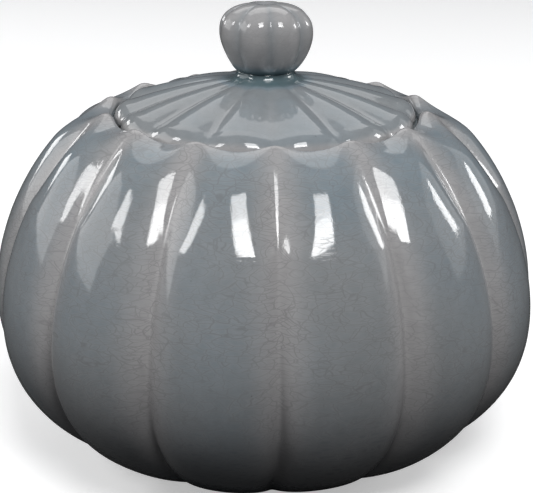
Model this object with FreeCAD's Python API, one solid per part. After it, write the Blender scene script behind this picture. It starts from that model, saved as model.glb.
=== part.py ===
"""Lidded ceramic jar in the form of a ribbed pumpkin, in millimetres, +Z up.

The jar is a wide belly of convex lobes with a scalloped mouth, made of three sections luted together. A
gallery ring luted inside the mouth carries the lid, and a low foot ring carries the jar. The lid is a low lobed dome with a locating flange
under it and a small pumpkin for a knob, and it lifts straight up.

The origin is on the axis, at the plane that the foot ring stands on. One groove of the belly lies on -Y.
"""

import FreeCAD
import Part

import math
import os

V = FreeCAD.Vector

# ---- driving dimensions ----
LOBES = 14                  # lobes round the belly and the lid
BELLY_RADIUS = 105.0        # over the crests, at the widest height
FOOT_HEIGHT = 3.0           # how far the foot ring lifts the belly
WIDEST_HEIGHT = 59.0        # the belly's widest height, above its own base
UPPER_RISE, UPPER_POWER = 100.7, 1.87     # superellipse of the belly above its widest height
LOWER_DROP, LOWER_POWER = 67.8, 2.21      # and below it
LOBE_DEPTH = 5.9            # groove depth under the crests
LOBE_FADE = 7.0             # height over which the grooves deepen from the base
LOBE_SHAPE = (0.09, 0.5)    # crease and flatness: narrow grooves between broad, nearly flat lobes
RIM_SHAPE = (0.45, 3.0)     # soft waves at the mouth and inside the jar
LID_SHAPE = (0.35, 2.2)
KNOB_SHAPE = (0.25, 1.6)
SOFTENING = (104.0, 124.0)  # heights between which the belly's lobes soften into the rim's waves
CROWDING = 0.6              # how closely the surface's control points gather at the grooves

BASE_RADIUS = 53.0          # flat underside of the belly
SHOULDER_HEIGHT = 120.0     # where the belly starts to round over into the rim
RIM_CREST = dict(mouth=58.0, top=129.9, lip=1.8, outer_angle=80.0)   # on a lobe's crest
RIM_GROOVE = dict(mouth=58.0, top=132.6, lip=2.8, outer_angle=68.0)  # on a groove, where it stands proud
COLLAR_HEIGHT = 104.0       # the belly is thrown in three sections, luted at its widest height and here

SEAT_HEIGHT = 126.5         # top of the gallery ring, above the belly's base
GALLERY_RADIUS = 55.6       # outside of the gallery ring
THROAT_RADIUS = 50.0
GALLERY_THICK = 5.0
GALLERY_EASE = 1.0
WALL = 5.6                  # at the belly's widest height
WALL_FLARE = 0.45           # share by which the wall thickens towards the foot and the shoulder
INNER_GROOVES = 0.72        # depth of the grooves inside the jar, as a share of those outside
CAVITY_TOP = 119.5          # where the cavity meets the gallery's bore
FLOOR_THICK = 6.5

FOOT_OUTER, FOOT_INNER = 50.0, 44.0
FOOT_EASE = 0.8

SEAT_GAP = 0.2              # the fired lid rests on high spots of the seat
LID_CREST_RADIUS = 57.2
LID_GROOVE_RADIUS = 56.0
LID_EDGE_ROUND = 7.0
LID_EDGE_DROP = 0.8         # height of the small round under the edge
LID_DOME_START = 15.5       # radius where the dome leaves the neck's fillet
LID_DOME_HEIGHT = 142.4
LID_DOME_SLOPE = 0.125
LID_DOME_CURVE = 0.0030
LID_GROOVE_DEPTH = 2.3
LID_GROOVE_GROWTH = 0.8     # power by which the lid's grooves deepen outwards
LID_UNDER_RADIUS = 43.6     # hollow under the lid
LID_UNDER_EDGE = 129.6
LID_UNDER_TOP = 136.8
NECK_RADIUS = 10.8
NECK_HEIGHT = 145.8
FLANGE_OUTER, FLANGE_INNER, FLANGE_DROP = 48.4, 44.0, 7.5
FLANGE_EASE = 1.0

KNOB_LOBES = 8
KNOB_TWIST = 3.6            # degrees that the knob's grooves are turned from the belly's
KNOB_RADIUS = 17.8
KNOB_WIDEST = 159.5
KNOB_RISE, KNOB_UPPER_POWER = 11.2, 2.6
KNOB_LOWER_POWER, KNOB_FULLNESS = 1.7, 0.8
KNOB_GROOVE_DEPTH = 1.5
KNOB_DIMPLE = 0.7

POINTS_PER_LOBE = 14
FITTING_ROUNDS = 3          # corrections that bring each smooth skin onto its rings
CUT_OVERLAP = 1.0           # how far a cutting solid runs past the face that it opens


def mix(a, b, share):
    """Value a at share 0, b at share 1."""
    return a + (b - a) * share


def groove_share(turn, shape):
    """0 on a lobe's crest and 1 in its groove, for a position counted in lobes from a groove.

    A small crease makes the groove's bottom sharp, and a small flatness makes the lobe broad and flat.
    """
    crease, flatness = shape
    swing = abs(math.sin(math.pi * turn))
    rise = (math.hypot(swing, crease) - crease) / (math.hypot(1.0, crease) - crease)
    return 1.0 - rise * (1.0 + flatness) / (rise + flatness)


def ring(crest, groove, lobes=LOBES, twist=0.0, shape=LOBE_SHAPE):
    """Closed ring of points that passes from (r, z) on each crest to (r, z) in each groove."""
    points = []
    for step in range(lobes * POINTS_PER_LOBE):
        even = step / POINTS_PER_LOBE
        turn = even - CROWDING * math.sin(2.0 * math.pi * even) / (2.0 * math.pi)
        share = groove_share(turn, shape)
        angle = 2.0 * math.pi * turn / lobes + math.radians(twist)
        radius = mix(crest[0], groove[0], share)
        height = mix(crest[1], groove[1], share) + FOOT_HEIGHT
        points.append(V(radius * math.sin(angle), -radius * math.cos(angle), height))
    return points


def smoothed(poles):
    """Where a cubic surface with evenly spaced knots passes, beside each of its control points."""
    around, along = len(poles), len(poles[0])
    turned_once = [
        [(poles[i - 1][j] + poles[i][j] * 4.0 + poles[(i + 1) % around][j]) * (1.0 / 6.0) for j in range(along)]
        for i in range(around)
    ]
    result = []
    for line in turned_once:
        inner = [(line[j - 1] + line[j] * 4.0 + line[j + 1]) * (1.0 / 6.0) for j in range(2, along - 2)]
        result.append(line[:2] + inner + line[-2:])
    return result


def skinned_solid(rings):
    """Solid with one smooth skin that passes close to every ring, closed by flat discs at both end rings."""
    degree = 3
    around, along = len(rings[0]), len(rings)
    aims = [[rings[j][i] for j in range(along)] for i in range(around)]
    poles = aims
    for _ in range(FITTING_ROUNDS):
        reached = smoothed(poles)
        poles = [[poles[i][j] + aims[i][j] - reached[i][j] for j in range(along)] for i in range(around)]
    inner = along - degree - 1
    surface = Part.BSplineSurface()
    surface.buildFromPolesMultsKnots(
        poles,
        [1] * (around + 1),
        [degree + 1] + [1] * inner + [degree + 1],
        [float(k) for k in range(around + 1)],
        [float(k) for k in range(inner + 2)],
        True,
        False,
        degree,
        degree,
    )
    skin = surface.toShape()
    rims = [e for e in skin.Edges if e.isClosed() and e.BoundBox.ZLength < 1e-6]
    caps = [Part.Face(Part.Wire([e])) for e in rims]
    shell = Part.makeShell([skin] + caps)
    shell.sewShape()
    solid = Part.Solid(shell)
    if solid.Volume < 0:
        solid.reverse()
    return solid


def superellipse(height, widest, radius, rise, power):
    """Radius at a height, of a superellipse of that radius and rise."""
    share = min(abs(height - widest) / rise, 0.9999)
    return radius * (1.0 - share**power) ** (1.0 / power)


def belly_radius(height):
    """Crest radius of the belly at a height above its base."""
    if height > WIDEST_HEIGHT:
        return superellipse(height, WIDEST_HEIGHT, BELLY_RADIUS, UPPER_RISE, UPPER_POWER)
    return superellipse(height, WIDEST_HEIGHT, BELLY_RADIUS, LOWER_DROP, LOWER_POWER)


def lobe_depth(height):
    """Groove depth of the belly at a height above its base."""
    return LOBE_DEPTH * (1.0 - math.exp(-height / LOBE_FADE))


def lobe_shape(height):
    """Crease and flatness of the belly's lobes at a height above its base."""
    low, high = SOFTENING
    share = min(max((height - low) / (high - low), 0.0), 1.0)
    return tuple(mix(a, b, share) for a, b in zip(LOBE_SHAPE, RIM_SHAPE))


def bezier(a, b, c, t):
    """Point on a quadratic curve from a to c whose end tangents meet at b."""
    return tuple(mix(mix(p, q, t), mix(q, r, t), t) for p, q, r in zip(a, b, c))


def rim_meridian(start, slope, mouth, top, lip, outer_angle):
    """Points from the shoulder over the rim and down the mouth's wall, for a crest or for a groove."""
    centre = (mouth + lip, top - lip)
    begin = math.radians(outer_angle)
    land = (centre[0] + lip * math.cos(begin), centre[1] + lip * math.sin(begin))
    fall = 1.0 / math.tan(begin)
    reach = (land[1] - start[1] + fall * (land[0] - start[0])) / (slope - fall)
    corner = (start[0] - reach, start[1] + slope * reach)
    shoulder_steps, lip_steps, wall_steps = 6, 7, 2
    points = [bezier(start, corner, land, k / shoulder_steps) for k in range(shoulder_steps)]
    for k in range(lip_steps):
        angle = mix(begin, math.pi, k / (lip_steps - 1))
        points.append((centre[0] + lip * math.cos(angle), centre[1] + lip * math.sin(angle)))
    for k in range(1, wall_steps + 1):
        points.append((mouth, mix(centre[1], SEAT_HEIGHT, k / wall_steps)))
    return points


def jar_rings():
    """Rings of the belly's outside, from its flat base over the rim to the gallery's level."""
    rings = []
    for radius, height in ((BASE_RADIUS, 0.0), (BASE_RADIUS + 3.0, 0.05)):
        rings.append(ring((radius, height), (radius, height)))
    heights = [1.2, 3.5, 6.5, 10.5, 15.5, 22.0, 30.0, 39.0, 49.0, 59.0, 69.0, 79.0, 89.0, 98.0, 106.0, 113.0]
    for height in heights:
        crest = belly_radius(height)
        rings.append(ring((crest, height), (crest - lobe_depth(height), height), shape=lobe_shape(height)))
    step = 1.0
    crest = belly_radius(SHOULDER_HEIGHT)
    slope = step / (belly_radius(SHOULDER_HEIGHT - step) - crest)
    crest_line = rim_meridian((crest, SHOULDER_HEIGHT), slope, **RIM_CREST)
    start = (crest - lobe_depth(SHOULDER_HEIGHT), SHOULDER_HEIGHT)
    groove_line = rim_meridian(start, slope, **RIM_GROOVE)
    rings += [ring(c, g, shape=lobe_shape(c[1])) for c, g in zip(crest_line, groove_line)]
    return rings


def turned(profile):
    """Solid of revolution about the axis, from a closed outline of (r, z) above the belly's base."""
    points = [V(r, 0.0, z + FOOT_HEIGHT) for r, z in profile]
    face = Part.Face(Part.makePolygon(points + points[:1]))
    return face.revolve(V(0, 0, 0), V(0, 0, 1), 360)


def jar_cavity():
    """The space inside the jar: softly lobed up to the shoulder, then a round opening to the gallery."""
    heights = [9.0, 13.0, 19.0, 27.0, 37.0, 48.0, 59.0, 70.0, 80.0, 90.0, 99.0, 107.0, 113.5]
    rings = []
    for radius, height in ((38.0, FLOOR_THICK), (50.0, FLOOR_THICK + 0.1), (60.0, FLOOR_THICK + 0.7)):
        rings.append(ring((radius, height), (radius, height)))
    for height in heights:
        flare = 1.0 + WALL_FLARE * ((height - WIDEST_HEIGHT) / WIDEST_HEIGHT) ** 2
        crest = belly_radius(height) - WALL * flare
        groove = crest - INNER_GROOVES * lobe_depth(height)
        rings.append(ring((crest, height), (groove, height), shape=RIM_SHAPE))
    for radius, height in ((67.0, CAVITY_TOP - 1.9), (61.0, CAVITY_TOP - 0.2), (56.5, CAVITY_TOP)):
        rings.append(ring((radius, height), (radius, height)))
    low, high = CAVITY_TOP - CUT_OVERLAP, SEAT_HEIGHT + CUT_OVERLAP
    bore = [(0.0, low), (GALLERY_RADIUS, low), (GALLERY_RADIUS, high), (0.0, high)]
    return skinned_solid(rings).fuse(turned(bore))


def section(low, high):
    """Slice of the hollow belly between two heights above its base."""
    reach = BELLY_RADIUS + CUT_OVERLAP
    slab = turned([(0.0, low), (reach, low), (reach, high), (0.0, high)])
    return skinned_solid(jar_rings()).cut(jar_cavity()).common(slab)


def belly_lower():
    """Lower section, with the floor."""
    return section(-CUT_OVERLAP, WIDEST_HEIGHT)


def belly_upper():
    """Upper section, from the widest height to the collar."""
    return section(WIDEST_HEIGHT, COLLAR_HEIGHT)


def mouth_collar():
    """Shoulder, scalloped rim and the recess that takes the lid."""
    return section(COLLAR_HEIGHT, RIM_GROOVE["top"] + CUT_OVERLAP)


def foot_ring():
    """Unglazed ring that the jar stands on, with both bottom edges eased."""
    low = -FOOT_HEIGHT
    return turned([
        (FOOT_INNER + FOOT_EASE, low), (FOOT_OUTER - FOOT_EASE, low), (FOOT_OUTER, low + FOOT_EASE),
        (FOOT_OUTER, 0.0), (FOOT_INNER, 0.0), (FOOT_INNER, low + FOOT_EASE),
    ])


def gallery_ring():
    """Unglazed ledge luted inside the mouth, that the lid sits on."""
    low, high = SEAT_HEIGHT - GALLERY_THICK, SEAT_HEIGHT
    return turned([
        (THROAT_RADIUS + GALLERY_EASE, low), (GALLERY_RADIUS, low), (GALLERY_RADIUS, high),
        (THROAT_RADIUS + GALLERY_EASE, high), (THROAT_RADIUS, high - GALLERY_EASE),
        (THROAT_RADIUS, low + GALLERY_EASE),
    ])


def dome_height(radius):
    """Height of the lid's top over a lobe's crest."""
    out = radius - LID_DOME_START
    return LID_DOME_HEIGHT - LID_DOME_SLOPE * out - LID_DOME_CURVE * out * out


def lid_groove(radius):
    """Depth of the lid's grooves, which start at the neck and are deepest at the edge."""
    share = min(max((radius - NECK_RADIUS) / (LID_GROOVE_RADIUS - NECK_RADIUS), 0.0), 1.0)
    return LID_GROOVE_DEPTH * share**LID_GROOVE_GROWTH


def lid_edge(radius, drop):
    """Points round the lid's edge, from its top to its flat underside."""
    bottom = SEAT_HEIGHT + SEAT_GAP
    top = dome_height(radius - LID_EDGE_ROUND) - drop
    centre = (radius - LID_EDGE_ROUND, top - LID_EDGE_ROUND)
    begin, end = math.radians(68.0), math.asin(max((bottom + LID_EDGE_DROP - centre[1]) / LID_EDGE_ROUND, 0.0))
    points = []
    for k in range(7):
        angle = mix(begin, end, k / 6)
        across, up = LID_EDGE_ROUND * math.cos(angle), LID_EDGE_ROUND * math.sin(angle)
        points.append((centre[0] + across, centre[1] + up))
    for inset, rise in ((0.15, 0.3), (0.8, 0.0), (2.0, 0.0)):
        points.append((points[6][0] - inset, bottom + rise))
    return points


def lid_plate():
    """Lobed dome with the knob's neck, hollowed underneath."""
    rings = []
    fillet = LID_DOME_START - NECK_RADIUS
    for radius, height in ((NECK_RADIUS - 1.0, NECK_HEIGHT), (NECK_RADIUS, NECK_HEIGHT)):
        rings.append(ring((radius, height), (radius, height)))
    for k in range(5):
        angle = math.radians(mix(4.0, 80.0, k / 4))
        radius = LID_DOME_START - fillet * math.cos(angle)
        height = mix(NECK_HEIGHT - 0.4, LID_DOME_HEIGHT, math.sin(angle))
        rings.append(ring((radius, height), (radius, height - lid_groove(radius)), shape=LID_SHAPE))
    for radius in (18.0, 22.0, 27.0, 32.0, 37.0, 42.0, 47.0):
        height = dome_height(radius)
        rings.append(ring((radius, height), (radius, height - lid_groove(radius)), shape=LID_SHAPE))
    crest_edge = lid_edge(LID_CREST_RADIUS, 0.0)
    groove_edge = lid_edge(LID_GROOVE_RADIUS, LID_GROOVE_DEPTH)
    rings += [ring(c, g, shape=LID_SHAPE) for c, g in zip(crest_edge, groove_edge)]
    bottom = SEAT_HEIGHT + SEAT_GAP
    low = bottom - CUT_OVERLAP
    hollow = [(0.0, low), (LID_UNDER_RADIUS, low), (LID_UNDER_RADIUS, LID_UNDER_EDGE)]
    vault_steps = 8
    for k in range(1, vault_steps + 1):
        radius = LID_UNDER_RADIUS * (1.0 - k / vault_steps)
        rise = (LID_UNDER_TOP - LID_UNDER_EDGE) * (1.0 - (radius / LID_UNDER_RADIUS) ** 2)
        hollow.append((radius, LID_UNDER_EDGE + rise))
    return skinned_solid(rings).cut(turned(hollow))


def lid_flange():
    """Ring under the lid that keeps it centred in the throat."""
    high = SEAT_HEIGHT + SEAT_GAP
    low = high - FLANGE_DROP
    return turned([
        (FLANGE_INNER + FLANGE_EASE, low), (FLANGE_OUTER - FLANGE_EASE, low), (FLANGE_OUTER, low + FLANGE_EASE),
        (FLANGE_OUTER, high), (FLANGE_INNER, high), (FLANGE_INNER, low + FLANGE_EASE),
    ])


def knob_rings():
    """Rings of the knob from the neck to the top, where its grooves meet in a shallow dimple."""
    rings = []

    def add(radius, height, depth):
        rings.append(ring((radius, height), (radius - depth, height), KNOB_LOBES, KNOB_TWIST, KNOB_SHAPE))

    drop = KNOB_WIDEST - NECK_HEIGHT
    add(NECK_RADIUS - 1.0, NECK_HEIGHT, 0.0)
    add(NECK_RADIUS, NECK_HEIGHT, 0.0)
    for share in (0.94, 0.82, 0.66, 0.5, 0.34, 0.18, 0.0):
        spread = (1.0 - share**KNOB_LOWER_POWER) ** KNOB_FULLNESS
        radius = mix(NECK_RADIUS, KNOB_RADIUS, spread)
        add(radius, KNOB_WIDEST - share * drop, KNOB_GROOVE_DEPTH * mix(0.5, 1.0, 1.0 - share))
    for degrees in (14, 28, 42, 55, 67, 77):
        share = math.sin(math.radians(degrees))
        height = KNOB_WIDEST + share * KNOB_RISE
        radius = superellipse(height, KNOB_WIDEST, KNOB_RADIUS, KNOB_RISE, KNOB_UPPER_POWER)
        add(radius, height, KNOB_GROOVE_DEPTH * mix(1.0, 0.75, share))
    for radius, sink, depth in ((6.5, 0.0, 0.5), (3.6, 0.4, 0.2), (1.6, 1.0, 0.0), (0.5, 1.0, 0.0)):
        add(radius, KNOB_WIDEST + KNOB_RISE - sink * KNOB_DIMPLE, depth)
    return rings


def lid_knob():
    """Small solid pumpkin, luted on the lid's neck."""
    return skinned_solid(knob_rings())


PARTS = {
    "belly_lower": belly_lower,
    "belly_upper": belly_upper,
    "mouth_collar": mouth_collar,
    "gallery_ring": gallery_ring,
    "foot_ring": foot_ring,
    "lid_plate": lid_plate,
    "lid_flange": lid_flange,
    "lid_knob": lid_knob,
}


def main():
    """Builds every piece and writes one STEP file for each."""
    os.makedirs("parts", exist_ok=True)
    for name, make in PARTS.items():
        shape = make()
        box = shape.BoundBox
        print(name, len(shape.Solids), "solid", "valid" if shape.isValid() else "INVALID",
              f"volume {shape.Volume / 1000:.1f} cm3",
              f"r {max(box.XMax, box.YMax):.2f} z {box.ZMin:.2f} to {box.ZMax:.2f}")
        shape.exportStep(f"parts/{name}.step")


main()
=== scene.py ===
"""Finished surfaces of a lidded celadon jar in the form of a ribbed pumpkin, with its studio and camera.

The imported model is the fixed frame. Every glazed or bare surface here is a fine skin drawn ring by ring
round the jar's axis, and it carries two glaze masks: where the glaze pooled and where it ran thin.
Lengths are in metres. Heights named "above the base" count from the underside of the belly.
"""

import logging
import math
from dataclasses import dataclass, field
from enum import Enum

import bpy
import numpy as np
from mathutils import Matrix, Vector, noise


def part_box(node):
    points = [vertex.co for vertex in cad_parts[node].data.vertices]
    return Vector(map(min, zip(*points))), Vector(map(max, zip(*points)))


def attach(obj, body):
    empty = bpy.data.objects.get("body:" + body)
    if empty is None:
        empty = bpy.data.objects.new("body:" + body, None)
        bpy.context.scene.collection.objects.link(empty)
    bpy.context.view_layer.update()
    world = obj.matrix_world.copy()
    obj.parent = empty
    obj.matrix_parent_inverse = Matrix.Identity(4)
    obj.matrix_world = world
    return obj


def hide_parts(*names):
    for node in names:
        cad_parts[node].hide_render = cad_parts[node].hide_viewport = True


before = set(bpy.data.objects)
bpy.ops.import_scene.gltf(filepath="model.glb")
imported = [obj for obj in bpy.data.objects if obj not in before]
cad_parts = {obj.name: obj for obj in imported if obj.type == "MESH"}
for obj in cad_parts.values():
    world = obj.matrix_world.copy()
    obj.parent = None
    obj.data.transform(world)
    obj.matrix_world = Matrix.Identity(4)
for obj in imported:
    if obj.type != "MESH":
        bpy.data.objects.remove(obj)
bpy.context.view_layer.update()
LOG = logging.getLogger("pumpkin_jar")
MM = 0.001

Pair = tuple[float, float]


def mix(start: float, end: float, share: float) -> float:
    """Gives start at share 0 and end at share 1."""
    return start + (end - start) * share


def ramp(value: float, low: float, high: float) -> float:
    """Rises smoothly from 0 at low to 1 at high."""
    share = min(max((value - low) / (high - low), 0.0), 1.0)
    return share * share * (3.0 - 2.0 * share)


def bend(start: Pair, corner: Pair, end: Pair, share: float) -> Pair:
    """Walks a curve whose end tangents meet at a corner.

    Args:
        start: Radius and height where the curve begins.
        corner: Where the two end tangents meet.
        end: Radius and height where the curve ends.
        share: How far along the curve, from 0 to 1.

    Returns:
        Radius and height of the point.
    """
    return tuple(mix(mix(p, q, share), mix(q, r, share), share) for p, q, r in zip(start, corner, end))


class Body(Enum):
    """The rigid bodies of the frame that pieces ride on."""

    JAR = "jar"
    LID = "lid"


class Slot(Enum):
    """Names of the material slots."""

    GLAZE = "celadon_glaze"
    CLAY = "bare_clay"


@dataclass(frozen=True)
class LobeForm:
    """Cross-section of a lobed surface.

    Attributes:
        crease: Roundness of a groove's bottom, small for a sharp groove.
        flatness: Small for broad, nearly flat lobes, and large for plain waves.
    """

    crease: float
    flatness: float

    def share(self, turns: np.ndarray) -> np.ndarray:
        """Gives 0 on a lobe's crest and 1 in its groove.

        Args:
            turns: Places round the axis, counted in lobes from a groove.

        Returns:
            One share for each place.
        """
        swing = np.abs(np.sin(math.pi * turns))
        full = math.hypot(1.0, self.crease) - self.crease
        rise = (np.hypot(swing, self.crease) - self.crease) / full
        return 1.0 - rise * (1.0 + self.flatness) / (rise + self.flatness)

    def toward(self, other: "LobeForm", share: float) -> "LobeForm":
        """Blends this form into another one."""
        return LobeForm(mix(self.crease, other.crease, share), mix(self.flatness, other.flatness, share))


LOBE_FORM = LobeForm(0.09, 0.5)
WAVE_FORM = LobeForm(0.45, 3.0)
LID_FORM = LobeForm(0.35, 2.2)
KNOB_FORM = LobeForm(0.25, 1.6)
GLAZE_FORM = LobeForm(0.35, 2.0)


@dataclass(frozen=True)
class Station:
    """One ring of a skin, from its place on a lobe's crest to its place in a groove.

    Attributes:
        crest: Radius and height on a crest.
        groove: Radius and height in a groove.
        form: Cross-section between the two.
        pool: How far the glaze pooled, on a crest and in a groove.
        thin: How far the glaze ran thin, on a crest and in a groove.
        finish: Index of the material from this ring to the next.
        freehand: How far the ring may wander as hand-made work does, from 0 to 1.
    """

    crest: Pair
    groove: Pair
    form: LobeForm = WAVE_FORM
    pool: Pair = (0.0, 0.0)
    thin: Pair = (0.0, 0.0)
    finish: int = 0
    freehand: float = 0.0


@dataclass
class Skin:
    """A closed skin round the axis, drawn ring by ring.

    Attributes:
        name: Name of the piece.
        lobes: Lobes round the axis.
        per_lobe: Points along one lobe.
        twist: Turn of the grooves from the -Y side, in radians.
        crowding: How closely points gather at the grooves, from 0 to under 1.
        looped: True when the last ring joins the first, as on a plain ring.
        wander: Largest departure from the true form, as hand-made work shows.
        stations: The rings, in order.
    """

    name: str
    lobes: int = 14
    per_lobe: int = 26
    twist: float = 0.0
    crowding: float = 0.6
    looped: bool = False
    wander: float = 0.35 * MM
    stations: list[Station] = field(default_factory=list)

    def plain(self, radius: float, height: float, **values: object) -> None:
        """Adds a ring that is round and level, with any other values of a station."""
        self.stations.append(Station((radius, height), (radius, height), **values))

    def build(self, finishes: list[bpy.types.Material]) -> bpy.types.Object:
        """Makes the mesh, with its glaze masks as attributes.

        Args:
            finishes: Materials in the order that the stations' finish counts them.

        Returns:
            The new object, linked to the scene.
        """
        even = np.arange(self.lobes * self.per_lobe) / self.per_lobe
        turns = even - self.crowding * np.sin(2.0 * math.pi * even) / (2.0 * math.pi)
        angles = turns * 2.0 * math.pi / self.lobes + self.twist
        glaze = GLAZE_FORM.share(turns)
        points, pool, thin = [], [], []
        for station in self.stations:
            share = station.form.share(turns)
            radius = mix(station.crest[0], station.groove[0], share)
            height = mix(station.crest[1], station.groove[1], share)
            ring = np.stack([radius * np.sin(angles), -radius * np.cos(angles), height], axis=1)
            points.append(self.wandered(ring, station.freehand))
            pool.append(mix(station.pool[0], station.pool[1], glaze))
            thin.append(mix(station.thin[0], station.thin[1], glaze))
        mesh = bpy.data.meshes.new(self.name)
        around, rows = len(angles), len(self.stations)
        corners = np.concatenate(points)
        faces, slots = self.faces(around, rows)
        caps = [] if self.looped else [self.cap(corners[:around], 0), self.cap(corners[-around:], rows - 1)]
        for middle, row in caps:
            corners = np.vstack([corners, middle])
            tip = len(corners) - 1
            for k in range(around):
                pair = (row * around + k, row * around + (k + 1) % around)
                faces.append((*(pair if row else pair[::-1]), tip))
                slots.append(self.stations[row].finish)
            pool.append([pool[row][0]])
            thin.append([thin[row][0]])
        mesh.from_pydata(corners.tolist(), [], faces)
        mesh.polygons.foreach_set("material_index", slots)
        mesh.polygons.foreach_set("use_smooth", [True] * len(faces))
        for label, values in (("pool", pool), ("thin", thin)):
            layer = mesh.attributes.new(label, "FLOAT", "POINT")
            layer.data.foreach_set("value", np.concatenate(values).astype(np.float32))
        for material in finishes:
            mesh.materials.append(material)
        mesh.validate()
        piece = bpy.data.objects.new(self.name, mesh)
        bpy.context.scene.collection.objects.link(piece)
        return piece

    def wandered(self, ring: np.ndarray, freehand: float) -> np.ndarray:
        """Moves a ring's points in and out a little, smoothly, as a potter's hand does.

        Args:
            ring: The ring's points.
            freehand: Share of the full departure that this ring may have.

        Returns:
            The moved points.
        """
        if freehand <= 0.0:
            return ring
        broad, close = 22.0, 75.0
        moved = ring.copy()
        for k, point in enumerate(ring):
            spot = Vector(point)
            drift = 0.75 * noise.noise(spot * broad) + 0.25 * noise.noise(spot * close)
            reach = 1.0 + self.wander * freehand * drift / max(math.hypot(spot.x, spot.y), 1.0 * MM)
            moved[k, :2] *= reach
        return moved

    def faces(self, around: int, rows: int) -> tuple[list[tuple[int, ...]], list[int]]:
        """Lists the four-sided faces between the rings.

        Args:
            around: Points on one ring.
            rows: How many rings there are.

        Returns:
            The corners of each face, and each face's material.
        """
        faces, slots = [], []
        for row in range(rows if self.looped else rows - 1):
            low, high = row * around, (row + 1) % rows * around
            for k in range(around):
                side = (k + 1) % around
                faces.append((low + k, low + side, high + side, high + k))
                slots.append(self.stations[row].finish)
        return faces, slots

    @staticmethod
    def cap(ring: np.ndarray, row: int) -> tuple[np.ndarray, int]:
        """Gives the middle point that closes an end ring, and that ring's row."""
        return ring.mean(axis=0), row


class Nodes:
    """Shader tree under construction, with short calls for its nodes and links."""

    def __init__(self, tree: bpy.types.NodeTree) -> None:
        """Starts on an empty tree."""
        self.tree = tree
        tree.nodes.clear()

    def add(self, kind: str, **settings: object) -> bpy.types.Node:
        """Adds a node and sets its own properties.

        Args:
            kind: The node's type.
            **settings: Properties of the node, by name.

        Returns:
            The node.
        """
        node = self.tree.nodes.new(kind)
        for key, value in settings.items():
            setattr(node, key, value)
        return node

    def feed(self, socket: bpy.types.NodeSocket, value: object) -> None:
        """Links a value to a socket, or sets the socket to a plain number or colour.

        Args:
            socket: The input socket.
            value: Another node's output, a number or a colour.
        """
        if isinstance(value, bpy.types.NodeSocket):
            self.tree.links.new(value, socket)
        else:
            socket.default_value = value

    def math(self, how: str, first: object, second: object = 0.0) -> bpy.types.NodeSocket:
        """Adds a Math node that works on one or two values.

        Args:
            how: The operation.
            first: Its first value.
            second: Its second value, where it takes one.

        Returns:
            The result.
        """
        node = self.add("ShaderNodeMath", operation=how)
        self.feed(node.inputs[0], first)
        self.feed(node.inputs[1], second)
        return node.outputs[0]

    def span(
        self, value: object, low: float, high: object, to_low: float, to_high: float
    ) -> bpy.types.NodeSocket:
        """Maps a value smoothly from one range to another, and holds it at the ends.

        Args:
            value: The value.
            low: Where the first range starts.
            high: Where the first range ends, as a number or another node's output.
            to_low: What the first range's start becomes.
            to_high: What its end becomes.

        Returns:
            The mapped value.
        """
        node = self.add("ShaderNodeMapRange", interpolation_type="SMOOTHSTEP")
        for socket, given in zip(node.inputs, (value, low, high, to_low, to_high)):
            self.feed(socket, given)
        return node.outputs[0]

    def blend(self, share: object, first: object, second: object, how: str = "MIX") -> bpy.types.NodeSocket:
        """Mixes two colours by a share.

        Args:
            share: How far the second colour, or the blend, takes over.
            first: The first colour.
            second: The second colour.
            how: The blend type.

        Returns:
            The mixed colour.
        """
        node = self.add("ShaderNodeMix", data_type="RGBA", blend_type=how)
        self.feed(node.inputs[0], share)
        self.feed(node.inputs[6], first)
        self.feed(node.inputs[7], second)
        return node.outputs[2]

    def place(self, stretch: tuple[float, float, float] = (1.0, 1.0, 1.0)) -> bpy.types.NodeSocket:
        """Gives the piece's own coordinates, stretched along each axis.

        Args:
            stretch: Factor along X, Y and Z.

        Returns:
            The coordinates.
        """
        here = self.add("ShaderNodeTexCoord").outputs["Object"]
        mapping = self.add("ShaderNodeMapping")
        self.feed(mapping.inputs["Vector"], here)
        mapping.inputs["Scale"].default_value = stretch
        return mapping.outputs[0]

    def clouds(self, where: object, scale: float, detail: float = 2.0) -> bpy.types.NodeSocket:
        """Adds soft noise.

        Args:
            where: Coordinates that the noise is taken at.
            scale: Patches for each metre.
            detail: How many finer layers it has.

        Returns:
            The noise, about 0.5 on average.
        """
        node = self.add("ShaderNodeTexNoise")
        self.feed(node.inputs["Vector"], where)
        node.inputs["Scale"].default_value = scale
        node.inputs["Detail"].default_value = detail
        return node.outputs[0]


def new_group(
    name: str, inputs: dict[str, float], outputs: tuple[str, ...]
) -> tuple[Nodes, bpy.types.Node, bpy.types.Node]:
    """Starts a shader node group.

    Args:
        name: Name of the group.
        inputs: Names of the inputs, with their usual values.
        outputs: Names of the masks that it puts out.

    Returns:
        The group's tree, its input node and its output node.
    """
    tree = bpy.data.node_groups.new(name, "ShaderNodeTree")
    for label, usual in inputs.items():
        socket = tree.interface.new_socket(label, in_out="INPUT", socket_type="NodeSocketFloat")
        socket.default_value = usual
    for label in outputs:
        tree.interface.new_socket(label, in_out="OUTPUT", socket_type="NodeSocketFloat")
    nodes = Nodes(tree)
    return nodes, nodes.add("NodeGroupInput"), nodes.add("NodeGroupOutput")


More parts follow.
